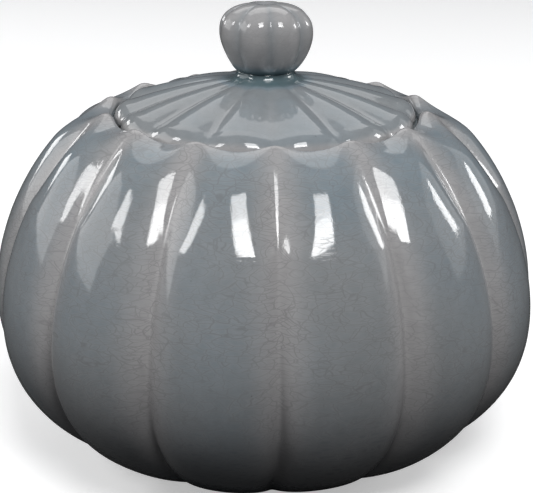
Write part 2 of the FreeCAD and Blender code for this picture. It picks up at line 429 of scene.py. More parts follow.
def crackle_group() -> bpy.types.NodeTree:
    """Builds the fine net of cracks in a fired glaze: flat wavy cells, crossed by fans of curved lines.

    Returns:
        A group with the cracks as a mask, and a wider, softer mask of the glaze beside them.
    """
    inputs = {"Cells": 86.0, "Width": 0.028, "Cover": 1.0}
    nodes, given, out = new_group("glaze_crackle", inputs, ("Cracks", "Halo"))
    flattening = 3.0
    waves = ((26.0, 9.0 * MM), (150.0, 2.4 * MM))
    fan_cells, arcs_in_fan, arc_weight = 0.36, 2.4, 0.42
    halo_width = 4.5
    where = nodes.place((1.0, 1.0, flattening))
    for scale, reach in waves:
        warp = nodes.add("ShaderNodeTexNoise")
        nodes.feed(warp.inputs["Vector"], where)
        warp.inputs["Scale"].default_value = scale
        warp.inputs["Detail"].default_value = 1.0
        pushed = nodes.add("ShaderNodeVectorMath", operation="MULTIPLY_ADD")
        nodes.feed(pushed.inputs[0], warp.outputs["Color"])
        pushed.inputs[1].default_value = (reach, reach, reach)
        nodes.feed(pushed.inputs[2], where)
        where = pushed.outputs[0]
    gaps = []
    for times in (1.0, 2.3):
        net = nodes.add("ShaderNodeTexVoronoi", feature="DISTANCE_TO_EDGE")
        nodes.feed(net.inputs["Vector"], where)
        nodes.feed(net.inputs["Scale"], nodes.math("MULTIPLY", given.outputs["Cells"], times))
        gaps.append(nodes.math("DIVIDE", net.outputs["Distance"], times))
    fan = nodes.add("ShaderNodeTexVoronoi")
    nodes.feed(fan.inputs["Vector"], where)
    nodes.feed(fan.inputs["Scale"], nodes.math("MULTIPLY", given.outputs["Cells"], fan_cells))
    apart = nodes.add("ShaderNodeVectorMath", operation="DISTANCE")
    nodes.feed(apart.inputs[0], where)
    nodes.feed(apart.inputs[1], fan.outputs["Position"])
    in_cells = nodes.math("MULTIPLY", apart.outputs["Value"], given.outputs["Cells"])
    arcs = nodes.math("MULTIPLY", in_cells, arcs_in_fan)
    gaps.append(nodes.math("MULTIPLY", nodes.math("PINGPONG", arcs, 0.5), arc_weight))
    patches = []
    for scale in (31.0, 43.0, 37.0):
        patches.append(nodes.span(nodes.clouds(nodes.place(), scale), 0.34, 0.56, 0.40, 1.0))
    open_here = nodes.span(nodes.clouds(nodes.place(), 19.0), 0.28, 0.55, 0.60, 1.0)
    cover = nodes.math("MULTIPLY", open_here, given.outputs["Cover"])
    for label, wider in (("Cracks", 1.0), ("Halo", halo_width)):
        reach = nodes.math("MULTIPLY", given.outputs["Width"], wider)
        lines = []
        for gap, patch in zip(gaps, patches):
            lines.append(nodes.math("MULTIPLY", nodes.span(gap, 0.0, reach, 1.0, 0.0), patch))
        every = nodes.math("MAXIMUM", nodes.math("MAXIMUM", lines[0], lines[1]), lines[2])
        nodes.feed(out.inputs[label], nodes.math("MULTIPLY", every, cover))
    return nodes.tree


def specks_group() -> bpy.types.NodeTree:
    """Builds scattered specks, such as iron spots in a clay or pinholes in a glaze.

    Returns:
        A group with the specks as a mask.
    """
    inputs = {"Spacing": 180.0, "Size": 0.12, "Share": 0.35}
    nodes, given, out = new_group("fired_specks", inputs, ("Specks",))
    cells = nodes.add("ShaderNodeTexVoronoi")
    nodes.feed(cells.inputs["Vector"], nodes.place())
    nodes.feed(cells.inputs["Scale"], given.outputs["Spacing"])
    dot = nodes.span(cells.outputs["Distance"], 0.0, given.outputs["Size"], 1.0, 0.0)
    split = nodes.add("ShaderNodeSeparateColor")
    nodes.feed(split.inputs[0], cells.outputs["Color"])
    chosen = nodes.math("LESS_THAN", split.outputs[0], given.outputs["Share"])
    nodes.feed(out.inputs["Specks"], nodes.math("MULTIPLY", dot, chosen))
    return nodes.tree


def placed(nodes: Nodes, group: bpy.types.NodeTree, **values: float) -> bpy.types.Node:
    """Places a group in a tree.

    Args:
        nodes: The tree.
        group: The group.
        **values: Values of the group's inputs, by name.

    Returns:
        The group's node.
    """
    node = nodes.add("ShaderNodeGroup", node_tree=group)
    for label, value in values.items():
        node.inputs[label].default_value = value
    return node


@dataclass(frozen=True)
class Effects:
    """The node groups that the finishes share."""

    crackle: bpy.types.NodeTree
    specks: bpy.types.NodeTree


@dataclass(frozen=True)
class CeladonGlaze:
    """Blue-grey celadon over pale clay, crackled, dark where it pooled and pale where it ran thin, with
    painted shade darkening it towards the foot.

    Attributes:
        name: Name of the material.
        cells: Crack cells for each metre.
        cover: How much of the surface the cracks show on.
        crack_depth: How far cracks darken the glaze.
        settled: How far the colour drifts over a hand's width.
        painted_shade_strength: How far painted shade darkens the colour towards the foot and on the inside
            floor.
        painted_shade_heights: Heights between which the painted shade fades from full to none.
    """

    name: str
    cells: float = 86.0
    cover: float = 1.0
    crack_depth: float = 0.34
    settled: float = 0.7
    painted_shade_strength: float = 0.66
    painted_shade_heights: Pair = (22.0 * MM, 80.0 * MM)

    body = (0.220, 0.250, 0.270, 1.0)
    grey = (0.240, 0.250, 0.254, 1.0)
    blue = (0.170, 0.222, 0.255, 1.0)
    deep = (0.070, 0.112, 0.125, 1.0)
    pale = (0.385, 0.375, 0.375, 1.0)
    # Near-black: the real stain in cracks and pinholes, and also the painted shade towards the foot.
    stain_and_shade = (0.070, 0.072, 0.075, 1.0)

    halo_paleness = 0.16
    pinhole_darkness = 0.6
    ripple_height = 0.10
    crack_sink = 0.006
    pinhole_sink = 0.02
    refraction = 1.52

    def coat(
        self, nodes: Nodes, here: bpy.types.NodeSocket, mottle: bpy.types.NodeSocket
    ) -> bpy.types.NodeSocket:
        """Colours the glaze by its thickness and by its drift in the kiln, and darkens it towards the foot
        with painted shade.

        Args:
            nodes: The material's tree.
            here: The piece's own coordinates.
            mottle: Fine soft noise.

        Returns:
            The colour without cracks or pinholes.
        """
        pool = nodes.add("ShaderNodeAttribute", attribute_name="pool").outputs["Fac"]
        thin = nodes.add("ShaderNodeAttribute", attribute_name="thin").outputs["Fac"]
        drift = nodes.clouds(here, 14.0, 3.0)
        streaks = nodes.math("SUBTRACT", nodes.clouds(nodes.place((1.0, 1.0, 0.22)), 90.0, 3.0), 0.5)
        colour = nodes.blend(nodes.span(drift, 0.35, 0.65, 0.0, self.settled), self.body, self.grey)
        loose = nodes.math("ADD", pool, nodes.math("MULTIPLY", streaks, 0.35))
        colour = nodes.blend(nodes.span(loose, 0.12, 0.62, 0.0, 0.85), colour, self.blue)
        colour = nodes.blend(nodes.span(loose, 0.62, 1.10, 0.0, 0.95), colour, self.deep)
        ragged = nodes.math("ADD", thin, nodes.math("MULTIPLY", streaks, 0.25))
        colour = nodes.blend(nodes.span(ragged, 0.10, 0.95, 0.0, 0.9), colour, self.pale)
        # Painted shade: the colour darkens towards the foot and on the inside floor, standing in for light
        # that falls off low on the jar.
        split = nodes.add("ShaderNodeSeparateXYZ")
        nodes.feed(split.inputs[0], here)
        painted_foot_shade = nodes.span(split.outputs[2], *self.painted_shade_heights, self.painted_shade_strength, 0.0)
        colour = nodes.blend(painted_foot_shade, colour, self.stain_and_shade)
        tint = nodes.span(mottle, 0.3, 0.7, 0.965, 1.035)
        shade = nodes.add("ShaderNodeCombineColor")
        for socket in shade.inputs:
            nodes.feed(socket, tint)
        return nodes.blend(1.0, colour, shade.outputs[0], "MULTIPLY")

    def relief(
        self,
        nodes: Nodes,
        here: bpy.types.NodeSocket,
        cracks: bpy.types.NodeSocket,
        pinholes: bpy.types.NodeSocket,
    ) -> bpy.types.NodeSocket:
        """Raises the glaze's slow ripple and sinks its cracks and pinholes.

        Args:
            nodes: The material's tree.
            here: The piece's own coordinates.
            cracks: Mask of the cracks.
            pinholes: Mask of the pinholes.

        Returns:
            The surface's normal.
        """
        ripple = nodes.clouds(here, 70.0, 2.0)
        height = nodes.math("MULTIPLY", nodes.math("SUBTRACT", ripple, 0.5), self.ripple_height)
        height = nodes.math("SUBTRACT", height, nodes.math("MULTIPLY", cracks, self.crack_sink))
        height = nodes.math("SUBTRACT", height, nodes.math("MULTIPLY", pinholes, self.pinhole_sink))
        bump = nodes.add("ShaderNodeBump")
        bump.inputs["Strength"].default_value = 1.0
        bump.inputs["Distance"].default_value = 1.0 * MM
        nodes.feed(bump.inputs["Height"], height)
        return bump.outputs[0]

    def make(self, effects: Effects) -> bpy.types.Material:
        """Builds the material.

        Args:
            effects: The shared node groups.

        Returns:
            The material.
        """
        material = bpy.data.materials.new(self.name)
        material.use_nodes = True
        nodes = Nodes(material.node_tree)
        here = nodes.place()
        mottle = nodes.clouds(here, 260.0, 3.0)
        colour = self.coat(nodes, here, mottle)
        crackle = placed(nodes, effects.crackle, Cells=self.cells, Cover=self.cover)
        cracks, halo = crackle.outputs["Cracks"], crackle.outputs["Halo"]
        colour = nodes.blend(nodes.math("MULTIPLY", cracks, self.crack_depth), colour, self.stain_and_shade)
        colour = nodes.blend(nodes.math("MULTIPLY", halo, self.halo_paleness), colour, self.pale)
        pinholes = placed(nodes, effects.specks, Spacing=210.0, Size=0.10, Share=0.05).outputs[0]
        colour = nodes.blend(nodes.math("MULTIPLY", pinholes, self.pinhole_darkness), colour, self.stain_and_shade)
        rough = nodes.span(mottle, 0.3, 0.7, 0.045, 0.075)
        rough = nodes.math("ADD", rough, nodes.math("MULTIPLY", cracks, 0.02))
        shader = nodes.add("ShaderNodeBsdfPrincipled")
        nodes.feed(shader.inputs["Base Color"], colour)
        nodes.feed(shader.inputs["Roughness"], rough)
        nodes.feed(shader.inputs["Normal"], self.relief(nodes, here, cracks, pinholes))
        shader.inputs["IOR"].default_value = self.refraction
        nodes.feed(nodes.add("ShaderNodeOutputMaterial").inputs[0], shader.outputs[0])
        return material


@dataclass(frozen=True)
class BareClay:
    """Bare fired stoneware with grog and iron specks, toasted where the kiln's flame reached it.

    Attributes:
        name: Name of the material.
        toasted: How far the surface is browned, from 0 to 1.
    """

    name: str
    toasted: float = 0.5

    buff = (0.420, 0.330, 0.240, 1.0)
    brown = (0.210, 0.110, 0.055, 1.0)
    grog = (0.560, 0.500, 0.420, 1.0)
    iron = (0.050, 0.028, 0.016, 1.0)

    grain_height = 0.10
    grog_height = 0.06

    def make(self, effects: Effects) -> bpy.types.Material:
        """Builds the material.

        Args:
            effects: The shared node groups.

        Returns:
            The material.
        """
        material = bpy.data.materials.new(self.name)
        material.use_nodes = True
        nodes = Nodes(material.node_tree)
        here = nodes.place()
        scorch = nodes.span(nodes.clouds(here, 35.0, 4.0), 0.35, 0.70, 0.0, self.toasted)
        grain = nodes.clouds(here, 1500.0, 4.0)
        colour = nodes.blend(scorch, self.buff, self.brown)
        grog = placed(nodes, effects.specks, Spacing=900.0, Size=0.45, Share=0.30).outputs[0]
        iron = placed(nodes, effects.specks, Spacing=520.0, Size=0.28, Share=0.14).outputs[0]
        colour = nodes.blend(nodes.math("MULTIPLY", grog, 0.5), colour, self.grog)
        colour = nodes.blend(nodes.math("MULTIPLY", iron, 0.85), colour, self.iron)
        rise = nodes.math("MULTIPLY", grain, self.grain_height)
        height = nodes.math("ADD", rise, nodes.math("MULTIPLY", grog, self.grog_height))
        relief = nodes.add("ShaderNodeBump")
        relief.inputs["Distance"].default_value = 1.0 * MM
        nodes.feed(relief.inputs["Height"], height)
        shader = nodes.add("ShaderNodeBsdfPrincipled")
        nodes.feed(shader.inputs["Base Color"], colour)
        nodes.feed(shader.inputs["Roughness"], nodes.span(grain, 0.3, 0.7, 0.72, 0.92))
        nodes.feed(shader.inputs["Normal"], relief.outputs[0])
        nodes.feed(nodes.add("ShaderNodeOutputMaterial").inputs[0], shader.outputs[0])
        return material


@dataclass(frozen=True)
class Palette:
    """The finishes of the whole jar."""

    belly: bpy.types.Material
    lid: bpy.types.Material
    inside: bpy.types.Material
    clay: bpy.types.Material


def settle(piece: bpy.types.Object, nodes: tuple[str, ...], body: Body) -> bpy.types.Object:
    """Puts a finished piece on its body in place of its plain nodes.

    Args:
        piece: The finished piece.
        nodes: Names of the plain nodes that it stands for.
        body: Body that it rides on.

    Returns:
        The piece.
    """
    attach(piece, body.value)
    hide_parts(*nodes)
    LOG.info("%s: %d faces, rides on %s", piece.name, len(piece.data.polygons), body.value)
    return piece


@dataclass(frozen=True)
class Lip:
    """The rounded edge of the rim, on a crest or in a groove.

    Attributes:
        top: Height of its top.
        round: Radius of its round.
        angle: Where the shoulder meets its round, in degrees from level.
    """

    top: float
    round: float
    angle: float


@dataclass
class Belly:
    """The jar's body: underside, lobed belly, scalloped rim, mouth and glazed inside.

    Heights are above the base, which is the belly's own underside. No joint shows between its sections.
    The throwing rings inside are given by their height and by their length over one radian.
    """

    nodes = ("belly_lower", "belly_upper", "mouth_collar")

    radius: float
    base: float
    widest: float = 59.0 * MM
    upper_rise: float = 100.7 * MM
    upper_power: float = 1.87
    lower_drop: float = 67.8 * MM
    lower_power: float = 2.21
    lobe_depth: float = 5.9 * MM
    lobe_fade: float = 7.0 * MM
    softening: Pair = (104.0 * MM, 124.0 * MM)
    base_radius: float = 53.0 * MM
    shoulder: float = 120.0 * MM
    mouth: float = 58.0 * MM
    crest_lip: Lip = Lip(129.9 * MM, 1.8 * MM, 80.0)
    groove_lip: Lip = Lip(132.6 * MM, 2.8 * MM, 68.0)
    seat: float = 126.5 * MM
    gallery_radius: float = 55.6 * MM
    gallery_under: float = 119.5 * MM
    wall: float = 5.6 * MM
    wall_flare: float = 0.45
    inner_grooves: float = 0.72
    throwing_rings: Pair = (0.22 * MM, 1.05 * MM)
    floor: float = 6.5 * MM

    def crest(self, height: float) -> float:
        """Gives the radius over the lobes' crests.

        Args:
            height: Height above the base.

        Returns:
            The radius.
        """
        upper = height > self.widest
        rise = self.upper_rise if upper else self.lower_drop
        power = self.upper_power if upper else self.lower_power
        nearly_all = 0.9999
        share = min(abs(height - self.widest) / rise, nearly_all)
        return self.radius * (1.0 - share**power) ** (1.0 / power)

    def depth(self, height: float) -> float:
        """Gives the depth of the grooves at a height above the base."""
        return self.lobe_depth * (1.0 - math.exp(-height / self.lobe_fade))

    def form(self, height: float) -> LobeForm:
        """Gives the lobes' cross-section at a height above the base."""
        low, high = self.softening
        return LOBE_FORM.toward(WAVE_FORM, min(max((height - low) / (high - low), 0.0), 1.0))

    def underside(self, skin: Skin) -> None:
        """Draws the glazed underside, with the bead where the glaze stops beside the foot.

        Args:
            skin: The skin that the rings join.
        """
        foot_inside, hollowing = 44.0, 0.5 * MM
        bead = ((43.6, 0.0), (50.4, 0.0), (50.8, 0.32), (51.5, 0.42), (52.2, 0.25), (53.0, 0.0))
        for radius in (2.0, 8.0, 16.0, 24.0, 32.0, 38.0, 42.0):
            dome = hollowing * (1.0 - (radius / foot_inside) ** 2)
            skin.plain(radius * MM, self.base + dome, pool=(0.3, 0.3))
        for radius, drop in bead:
            skin.plain(radius * MM, self.base - drop * MM, pool=(0.75, 0.75), thin=(0.1, 0.1))

    def outside(self, skin: Skin) -> None:
        """Draws the belly from its base to the shoulder.

        Args:
            skin: The skin that the rings join.
        """
        start, step = 2.6 * MM, 0.1 * MM
        turn_rows, rows = 6, 112
        slope = (self.crest(start + step) - self.crest(start)) / step
        corner = self.crest(start) - slope * start
        land = (self.crest(start), start)
        for k in range(1, turn_rows):
            radius, height = bend((self.base_radius, 0.0), (corner, 0.0), land, k / turn_rows)
            self.ring(skin, (radius, height), (radius - self.depth(height), height))
        for k in range(rows):
            height = mix(start, self.shoulder, k / rows)
            radius = self.crest(height)
            self.ring(skin, (radius, height), (radius - self.depth(height), height))

    def ring(
        self, skin: Skin, crest: Pair, groove: Pair, thin: Pair | None = None, freehand: float = 1.0
    ) -> None:
        """Adds one glazed ring of the outside, with the glaze that lies at its height.

        Args:
            skin: The skin that the ring joins.
            crest: Radius and height above the base, on a crest.
            groove: The same in a groove.
            thin: How thin the glaze is, where the usual value doesn't hold.
            freehand: How far the ring may wander.
        """
        height = crest[1]
        shoulder = ramp(height, 96.0 * MM, 120.0 * MM)
        near_rim = ramp(height, 100.0 * MM, 126.0 * MM)
        usual = (0.0, mix(0.85, 0.90, near_rim) * ramp(height, 4.0 * MM, 30.0 * MM))
        at_foot = ramp(-height, -12.0 * MM, 0.0)
        station = Station(
            (crest[0], crest[1] + self.base),
            (groove[0], groove[1] + self.base),
            self.form(height),
            pool=(0.42 * shoulder + 0.25 * at_foot, 0.0),
            thin=thin or usual,
            freehand=freehand * ramp(height, 0.0, 8.0 * MM),
        )
        skin.stations.append(station)

    def rim_line(self, start: Pair, slope: float, lip: Lip) -> list[Pair]:
        """Draws the rim's outline on a crest or in a groove.

        Args:
            start: Radius and height on the shoulder, where the rim begins.
            slope: Rise for each metre inwards, at the start.
            lip: The lip that the shoulder runs into.

        Returns:
            Radius and height of each point, in order.
        """
        centre = (self.mouth + lip.round, lip.top - lip.round)
        begin = math.radians(lip.angle)
        land = (centre[0] + lip.round * math.cos(begin), centre[1] + lip.round * math.sin(begin))
        fall = 1.0 / math.tan(begin)
        reach = (land[1] - start[1] + fall * (land[0] - start[0])) / (slope - fall)
        corner = (start[0] - reach, start[1] + slope * reach)
        shoulder_rows, lip_rows, wall_rows = 18, 14, 6
        points = [bend(start, corner, land, k / shoulder_rows) for k in range(shoulder_rows)]
        for k in range(lip_rows):
            turn = mix(begin, math.pi, k / (lip_rows - 1))
            points.append((centre[0] + lip.round * math.cos(turn), centre[1] + lip.round * math.sin(turn)))
        for k in range(1, wall_rows + 1):
            points.append((self.mouth, mix(centre[1], self.seat, k / wall_rows)))
        return points

    def rim(self, skin: Skin) -> None:
        """Draws the scalloped rim, its lip and the mouth's wall down to the gallery.

        Args:
            skin: The skin that the rings join.
        """
        step = 1.0 * MM
        crest = self.crest(self.shoulder)
        slope = step / (self.crest(self.shoulder - step) - crest)
        groove = crest - self.depth(self.shoulder)
        over = self.rim_line((crest, self.shoulder), slope, self.crest_lip)
        under = self.rim_line((groove, self.shoulder), slope, self.groove_lip)
        lip_from, lip_to = 18, 26
        for k, (on_crest, in_groove) in enumerate(zip(over, under)):
            outward = 1.0 - ramp(k, lip_to, lip_to + 8)
            edge = ramp(k, lip_from - 7, lip_from) * outward
            thin = (0.45 * edge, max(0.75 * outward, 0.9 * edge))
            calm = 1.0 - ramp(k, 6, lip_from)
            self.ring(skin, on_crest, in_groove, thin=thin, freehand=calm)
        skin.plain(self.mouth - 1.0 * MM, self.seat + self.base, pool=(0.6, 0.6))
        skin.plain(self.gallery_radius, self.seat + self.base, finish=1)
        skin.plain(self.gallery_radius, self.gallery_under + self.base, finish=1)

    def inside(self, skin: Skin) -> None:
        """Draws the cavity down from the gallery, with the potter's throwing rings, to the floor.

        Args:
            skin: The skin that the rings join.
        """
        top, low = 113.5 * MM, 9.0 * MM
        roof_corner, floor_corner = 74.0 * MM, 57.0 * MM
        flat, turn_rows, rows = 40, 9, 66
        start, end = (self.gallery_radius, self.gallery_under), (self.hollow(top), top)
        for k in range(1, turn_rows):
            radius, height = bend(start, (roof_corner, self.gallery_under), end, k / turn_rows)
            skin.plain(radius, height + self.base, finish=1)
        swell, length = self.throwing_rings
        for k in range(rows):
            height = mix(top, low, k / rows)
            radius = self.hollow(height) + swell * math.sin(height / length)
            groove = radius - self.inner_grooves * self.depth(height)
            level = height + self.base
            station = Station((radius, level), (groove, level), finish=1, freehand=1.0)
            skin.stations.append(station)
        start, end = (self.hollow(low) - self.inner_grooves * self.depth(low), low), (flat * MM, self.floor)
        for k in range(1, turn_rows):
            radius, height = bend(start, (floor_corner, self.floor), end, k / turn_rows)
            skin.plain(radius, height + self.base, finish=1, pool=(0.5, 0.5))
        for radius in range(flat, 1, -2):
            ripple = 0.18 * MM * math.sin(radius * 1.3)
            deep = mix(0.95, 0.55, radius / flat)
            skin.plain(radius * MM, self.floor + self.base + ripple, finish=1, pool=(deep, deep))

    def hollow(self, height: float) -> float:
        """Gives the cavity's radius at a height above the base."""
        steep = 1.0 + self.wall_flare * (abs(height - self.widest) / self.widest) ** 2
        return self.crest(height) - self.wall * steep

    def make(self, palette: Palette) -> bpy.types.Object:
        """Builds the jar's body.

        Args:
            palette: The finishes.

        Returns:
            The piece.
        """
        skin = Skin("jar_surface")
        self.underside(skin)
        self.outside(skin)
        self.rim(skin)
        self.inside(skin)
        piece = skin.build([palette.belly, palette.inside])
        return settle(piece, self.nodes, Body.JAR)


@dataclass
class Ring:
    """A plain bare ring with rounded edges.

    Attributes:
        name: Name of the piece.
        inner: Inner radius.
        outer: Outer radius.
        low: Height of the underside.
        high: Height of the top.
        round: Radius of its four edges.
    """

    name: str
    inner: float
    outer: float
    low: float
    high: float
    round: float = 0.7 * MM

    def make(self, palette: Palette, node: str, body: Body) -> bpy.types.Object:
        """Builds the ring.

        Args:
            palette: The finishes.
            node: Name of the plain node that it stands for.
            body: Body that it rides on.

        Returns:
            The piece.
        """
        skin = Skin(self.name, lobes=1, per_lobe=288, crowding=0.0, looped=True, wander=0.12 * MM)
        edge_rows = 6
        corners = (
            (self.outer - self.round, self.low + self.round, -90.0),
            (self.outer - self.round, self.high - self.round, 0.0),
            (self.inner + self.round, self.high - self.round, 90.0),
            (self.inner + self.round, self.low + self.round, 180.0),
        )
        for radius, height, start in corners:
            for k in range(edge_rows):
                turn = math.radians(start + 90.0 * k / (edge_rows - 1))
                across, up = self.round * math.cos(turn), self.round * math.sin(turn)
                skin.plain(radius + across, height + up)
        piece = skin.build([palette.clay])
        return settle(piece, (node,), body)


def ring_of(name: str, node: str, inner: float) -> Ring:
    """Sizes a ring from its inner radius and the outside of its plain node.

    Args:
        name: Name of the piece.
        node: Name of the plain node.
        inner: The ring's inner radius.

    Returns:
        The ring.
    """
    low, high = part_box(node)
    return Ring(name, inner, high.x, low.z, high.z)


@dataclass
class Lid:
    """The low lobed dome with the knob's neck, its rounded edge and its hollow underside.

    Heights are above the belly's base.
    """

    base: float
    crest_edge: float = 57.2 * MM
    groove_edge: float = 56.0 * MM
    edge_round: float = 7.0 * MM
    edge_drop: float = 0.8 * MM
    bottom: float = 126.7 * MM
    dome_start: float = 15.5 * MM
    dome_height: float = 142.4 * MM
    dome_slope: float = 0.125
    dome_curve: float = 3.0
    groove_depth: float = 2.3 * MM
    neck_radius: float = 10.8 * MM
    neck_height: float = 145.8 * MM
    flange_outer: float = 48.4 * MM
    flange_inner: float = 44.0 * MM
    under_radius: float = 43.6 * MM
    under_edge: float = 129.6 * MM
    under_top: float = 136.8 * MM

    def dome(self, radius: float) -> float:
        """Gives the height of the top over a crest."""
        out = radius - self.dome_start
        return self.dome_height - self.dome_slope * out - self.dome_curve * out * out

    def depth(self, radius: float) -> float:
        """Gives the depth of the grooves at a radius."""
        share = (radius - self.neck_radius) / (self.groove_edge - self.neck_radius)
        return self.groove_depth * min(max(share, 0.0), 1.0) ** 0.8

    def top(self, skin: Skin) -> None:
        """Draws the neck's fillet and the dome.

        Args:
            skin: The skin that the rings join.
        """
        fillet = self.dome_start - self.neck_radius
        skin.plain(1.0 * MM, self.neck_height + self.base)
        skin.plain(self.neck_radius - 0.5 * MM, self.neck_height + self.base, pool=(1.0, 1.0))
        fillet_rows, rows = 11, 56
        for k in range(fillet_rows):
            turn = math.radians(mix(0.0, 80.0, k / (fillet_rows - 1)))
            radius = self.dome_start - fillet * math.cos(turn)
            height = mix(self.neck_height, self.dome_height, math.sin(turn))
            self.ring(skin, radius, height)
        last = self.crest_edge - self.edge_round
        for k in range(1, rows):
            radius = mix(self.dome_start, last, k / rows)
            self.ring(skin, radius, self.dome(radius))

    def ring(self, skin: Skin, radius: float, height: float) -> None:
        """Adds one ring of the top, with the glaze that lies there.

        Args:
            skin: The skin that the ring joins.
            radius: The ring's radius.
            height: Its height on a crest.
        """
        pooled = 1.05 * (1.0 - ramp(radius, 12.5 * MM, 21.0 * MM))
        away = ramp(radius, 16.0 * MM, 30.0 * MM)
        station = Station(
            (radius, height + self.base),
            (radius, height - self.depth(radius) + self.base),
            LID_FORM,
            pool=(max(pooled, 0.26 * away), max(pooled, 0.05)),
            thin=(0.0, 0.30 * away),
            freehand=ramp(radius, 14.0 * MM, 24.0 * MM),
        )
        skin.stations.append(station)

    def edge_line(self, radius: float, drop: float) -> list[Pair]:
        """Draws the edge's outline, from its top round to the flat underside.

        Args:
            radius: The edge's outermost radius.
            drop: How far it lies below the dome's crests.

        Returns:
            Radius and height of each point, in order.
        """
        round_rows, corner_rows = 20, 6
        top = self.dome(radius - self.edge_round) - drop
        centre = (radius - self.edge_round, top - self.edge_round)
        end = math.asin(max((self.bottom + self.edge_drop - centre[1]) / self.edge_round, 0.0))
        points = []
        for k in range(round_rows):
            turn = mix(math.radians(70.0), end, k / (round_rows - 1))
            across, up = self.edge_round * math.cos(turn), self.edge_round * math.sin(turn)
            points.append((centre[0] + across, centre[1] + up))
        outer = points[-1][0]
        for k in range(corner_rows):
            turn = math.radians(90.0 * k / (corner_rows - 1))
            drop_in = self.edge_drop * (1.0 - math.cos(turn))
            points.append((outer - drop_in, self.bottom + self.edge_drop * (1.0 - math.sin(turn))))
        return points

    def edge(self, skin: Skin) -> None:
        """Draws the rounded edge, where the glaze ran thin, and the bare underside.

        Args:
            skin: The skin that the rings join.
        """
        over = self.edge_line(self.crest_edge, 0.0)
        under = self.edge_line(self.groove_edge, self.groove_depth)
        bare_from = 21
        for k, (on_crest, in_groove) in enumerate(zip(over, under)):
            worn = 0.85 * ramp(k, 4, 16)
            station = Station(
                (on_crest[0], on_crest[1] + self.base),
                (in_groove[0], in_groove[1] + self.base),
                LID_FORM,
                thin=(worn, worn),
                finish=1 if k >= bare_from else 0,
            )
            skin.stations.append(station)

    def underside(self, skin: Skin) -> None:
        """Draws the flat seat and the glazed hollow under the dome.

        Args:
            skin: The skin that the rings join.
        """
        level = self.bottom + self.base
        for radius in (52.0 * MM, self.flange_outer, self.flange_inner):
            skin.plain(radius, level, finish=1)
        skin.plain(self.under_radius, level + 0.4 * MM, finish=2)
        skin.plain(self.under_radius, self.under_edge + self.base - 1.2 * MM, finish=2, pool=(0.5, 0.5))
        rows = 30
        for k in range(1, rows):
            radius = self.under_radius * (1.0 - k / rows)
            rise = (self.under_top - self.under_edge) * (1.0 - (radius / self.under_radius) ** 2)
            ripple = 0.15 * MM * math.sin(radius / (0.9 * MM))
            skin.plain(radius, self.under_edge + rise + ripple + self.base, finish=2)

    def make(self, palette: Palette) -> bpy.types.Object:
        """Builds the lid's plate.

        Args:
            palette: The finishes.

        Returns:
            The piece.
        """
        skin = Skin("lid_surface", wander=0.22 * MM)
        self.top(skin)
        self.edge(skin)
        self.underside(skin)
        piece = skin.build([palette.lid, palette.clay, palette.inside])
        return settle(piece, ("lid_plate",), Body.LID)


@dataclass
class Knob:
    """The small pumpkin on the lid's neck.

    Heights are above the belly's base.
    """

    base: float
    radius: float = 17.8 * MM
    neck_radius: float = 10.8 * MM
    neck_height: float = 145.8 * MM
    widest: float = 159.5 * MM
    rise: float = 11.2 * MM
    upper_power: float = 2.6
    lower_power: float = 1.7
    groove: float = 1.5 * MM
    dimple: float = 0.7 * MM
    lobes: int = 8
    twist: float = math.radians(3.6)

    def make(self, palette: Palette) -> bpy.types.Object:
        """Builds the knob.

        Args:
            palette: The finishes.

        Returns:
            The piece.
        """
        skin = Skin("knob_surface", lobes=self.lobes, per_lobe=34, twist=self.twist, wander=0.3 * MM)
        skin.plain(1.0 * MM, self.neck_height + self.base)
        skin.plain(self.neck_radius - 0.4 * MM, self.neck_height + self.base, pool=(1.0, 1.0))
        drop = self.widest - self.neck_height
        rows = 40
        nearly_up = 88.5
        for k in range(rows):
            share = 1.0 - (k / rows) ** 1.5
            spread = (1.0 - share**self.lower_power) ** 0.8
            radius = mix(self.neck_radius, self.radius, spread)
            depth = self.groove * ramp(1.0 - share, 0.0, 0.35)
            self.ring(skin, radius, self.widest - share * drop, depth)
        for k in range(rows + 1):
            turn = math.radians(nearly_up * k / rows)
            radius = self.radius * math.cos(turn) ** (2.0 / self.upper_power)
            height = self.widest + self.rise * math.sin(turn) ** (2.0 / self.upper_power)
            height -= self.dimple * math.exp(-((radius / (3.4 * MM)) ** 2))
            depth = self.groove * min(radius / (13.0 * MM), 1.0)
            self.ring(skin, radius, height, depth)
        piece = skin.build([palette.lid])
        return settle(piece, ("lid_knob",), Body.LID)

    def ring(self, skin: Skin, radius: float, height: float, depth: float) -> None:
        """Adds one ring of the knob, with glaze pooled in its grooves and at its neck.

        Args:
            skin: The skin that the ring joins.
            radius: The ring's radius on a crest.
            height: Its height.
            depth: How deep the grooves are there.
        """
        low = 1.0 - ramp(height, self.neck_height, self.neck_height + 5.0 * MM)
        crown = 1.0 - ramp(radius, 2.5 * MM, 9.0 * MM)
        crown *= ramp(height, self.widest, self.widest + self.rise)
        pool = (max(low, 0.6 * crown), max(0.32, low))
        level = height + self.base
        groove = radius - depth
        lobe_top = ramp(height, self.widest, self.widest + self.rise) * (1.0 - crown)
        thin = (max(0.70, 0.8 * lobe_top) * (1.0 - low), 0.50 * (1.0 - low))
        skin.stations.append(Station((radius, level), (groove, level), KNOB_FORM, pool, thin, freehand=0.8))


def neutral(tone: float) -> tuple[float, float, float, float]:
    """Gives a neutral colour."""
    return (tone, tone, tone, 1.0)


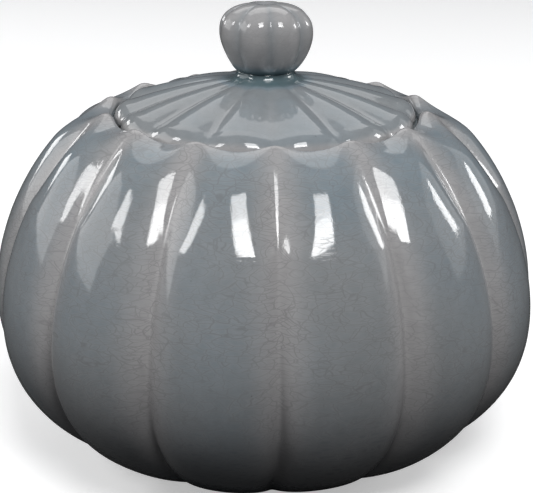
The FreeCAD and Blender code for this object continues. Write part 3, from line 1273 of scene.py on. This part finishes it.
@dataclass(frozen=True)
class SoftBox:
    """A rectangular studio light that faces the jar.

    Attributes:
        name: Name of the light.
        azimuth: Degrees round the jar from the front, towards the right.
        elevation: Degrees above level.
        distance: How far it stands from the jar.
        width: Width of its window.
        height: Height of its window.
        radiance: Brightness of its window, seen straight on.
    """

    name: str
    azimuth: float
    elevation: float
    distance: float
    width: float
    height: float
    radiance: float

    def make(self, aim: Vector) -> bpy.types.Object:
        """Sets up the light.

        Args:
            aim: Point that the light faces.

        Returns:
            The light.
        """
        lamp = bpy.data.lights.new(self.name, "AREA")
        lamp.shape = "RECTANGLE"
        lamp.size, lamp.size_y = self.width, self.height
        lamp.energy = self.radiance * math.pi * self.width * self.height
        light = bpy.data.objects.new(self.name, lamp)
        a, e = math.radians(self.azimuth), math.radians(self.elevation)
        back = Vector((math.sin(a) * math.cos(e), -math.cos(a) * math.cos(e), math.sin(e)))
        light.location = aim + back * self.distance
        light.rotation_mode = "QUATERNION"
        light.rotation_quaternion = (-back).to_track_quat("-Z", "Y")
        light.visible_camera = False
        bpy.context.scene.collection.objects.link(light)
        return light


@dataclass
class Studio:
    """Pale floor, soft lights, quiet surroundings and the camera.

    The floor's tones are the one that the camera sees and the one that it bounces onto the jar. In the same
    way the wall's tone is what the camera sees, and the wall's light is what falls on the jar.
    """

    aim_height: float
    camera_distance: float = 0.500
    camera_azimuth: float = -3.03
    camera_elevation: float = 19.64
    camera_roll: float = 0.38
    lens: float = 85.72
    floor_size: float = 12.0
    floor_tones: Pair = (0.86, 0.015)
    floor_glow: float = 0.42
    wall_tone: float = 0.9
    wall_light: tuple[float, float, float] = (0.090, 0.093, 0.102)

    lights = (
        SoftBox("front_box", 12.0, 54.0, 1.20, 0.46, 0.50, 11.0),
        SoftBox("front_band", 12.0, 47.0, 1.18, 0.46, 0.21, 8.0),
        SoftBox("left_box", -70.0, 40.0, 1.30, 0.28, 0.34, 11.0),
        SoftBox("rear_left_box", -135.0, 16.0, 1.40, 0.34, 0.24, 5.0),
        SoftBox("right_box", 104.0, 23.0, 1.35, 0.28, 0.32, 10.0),
        SoftBox("rear_box", 180.0, 48.0, 1.60, 1.30, 0.80, 1.2),
        SoftBox("left_wall", -100.0, 24.0, 1.70, 1.50, 0.90, 1.9),
        SoftBox("right_wall", 105.0, 24.0, 1.70, 1.50, 0.90, 0.8),
    )

    def set_floor(self) -> None:
        """Lays the pale floor that the jar stands on."""
        mesh = bpy.data.meshes.new("floor")
        half = self.floor_size / 2
        corners = [(-half, -half, 0.0), (half, -half, 0.0), (half, half, 0.0), (-half, half, 0.0)]
        mesh.from_pydata(corners, [], [(0, 1, 2, 3)])
        floor = bpy.data.objects.new("floor", mesh)
        bpy.context.scene.collection.objects.link(floor)
        material = bpy.data.materials.new("pale_floor")
        material.use_nodes = True
        nodes = Nodes(material.node_tree)
        seen = nodes.add("ShaderNodeLightPath").outputs["Is Camera Ray"]
        shader = nodes.add("ShaderNodeBsdfPrincipled")
        direct, bounced = self.floor_tones
        nodes.feed(shader.inputs["Base Color"], nodes.blend(seen, neutral(bounced), neutral(direct)))
        glow = nodes.blend(seen, neutral(0.0), neutral(self.floor_glow))
        nodes.feed(shader.inputs["Emission Color"], glow)
        shader.inputs["Emission Strength"].default_value = 1.0
        shader.inputs["Roughness"].default_value = 0.7
        nodes.feed(nodes.add("ShaderNodeOutputMaterial").inputs[0], shader.outputs[0])
        mesh.materials.append(material)

    def set_air(self) -> None:
        """Gives the studio's walls their pale, even light."""
        world = bpy.data.worlds.new("studio_walls")
        world.use_nodes = True
        nodes = Nodes(world.node_tree)
        seen = nodes.add("ShaderNodeLightPath").outputs["Is Camera Ray"]
        air = nodes.add("ShaderNodeBackground")
        nodes.feed(air.inputs["Color"], nodes.blend(seen, (*self.wall_light, 1.0), neutral(self.wall_tone)))
        nodes.feed(nodes.add("ShaderNodeOutputWorld").inputs[0], air.outputs[0])
        bpy.context.scene.world = world

    def set_camera(self) -> None:
        """Sets the camera a little left of the front groove and above the shoulder."""
        lens = bpy.data.cameras.new("camera")
        lens.lens = self.lens
        lens.sensor_width = 36.0
        lens.shift_x, lens.shift_y = 0.0036, 0.0013
        lens.clip_start, lens.clip_end = 0.01, 50.0
        camera = bpy.data.objects.new("camera", lens)
        a, e = math.radians(self.camera_azimuth), math.radians(self.camera_elevation)
        back = Vector((math.sin(a) * math.cos(e), -math.cos(a) * math.cos(e), math.sin(e)))
        camera.location = Vector((0.0, 0.0, self.aim_height)) + back * self.camera_distance
        level = (-back).to_track_quat("-Z", "Y").to_matrix().to_4x4()
        rolled = level @ Matrix.Rotation(math.radians(self.camera_roll), 4, "Z")
        camera.rotation_mode = "QUATERNION"
        camera.rotation_quaternion = rolled.to_quaternion()
        bpy.context.scene.collection.objects.link(camera)
        bpy.context.scene.camera = camera

    def make(self) -> None:
        """Sets up the whole studio."""
        self.set_floor()
        self.set_air()
        for light in self.lights:
            light.make(Vector((0.0, 0.0, self.aim_height)))
        self.set_camera()
        bpy.context.scene.view_settings.view_transform = "Standard"
        LOG.info("studio: %d lights", len(self.lights))


def main() -> None:
    """Builds the jar, its lid and the studio, in that order."""
    logging.basicConfig(level=logging.INFO, format="%(name)s: %(message)s")
    effects = Effects(crackle_group(), specks_group())
    palette = Palette(
        belly=CeladonGlaze("belly_celadon").make(effects),
        lid=CeladonGlaze("lid_celadon", cells=90.0, cover=0.25).make(effects),
        inside=CeladonGlaze("inside_celadon", cells=85.0, cover=0.7, crack_depth=0.30).make(effects),
        clay=BareClay("bare_stoneware").make(effects),
    )
    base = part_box("foot_ring")[1].z
    Belly(radius=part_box("belly_lower")[1].x, base=base).make(palette)
    for name, node, body, inner in (
        ("foot_surface", "foot_ring", Body.JAR, 44.0 * MM),
        ("gallery_surface", "gallery_ring", Body.JAR, 50.0 * MM),
        ("flange_surface", "lid_flange", Body.LID, 44.0 * MM),
    ):
        ring_of(name, node, inner).make(palette, node, body)
    Lid(base=base).make(palette)
    Knob(base=base).make(palette)
    Studio(aim_height=75.0 * MM + base).make()


if __name__ == "__main__":
    main()
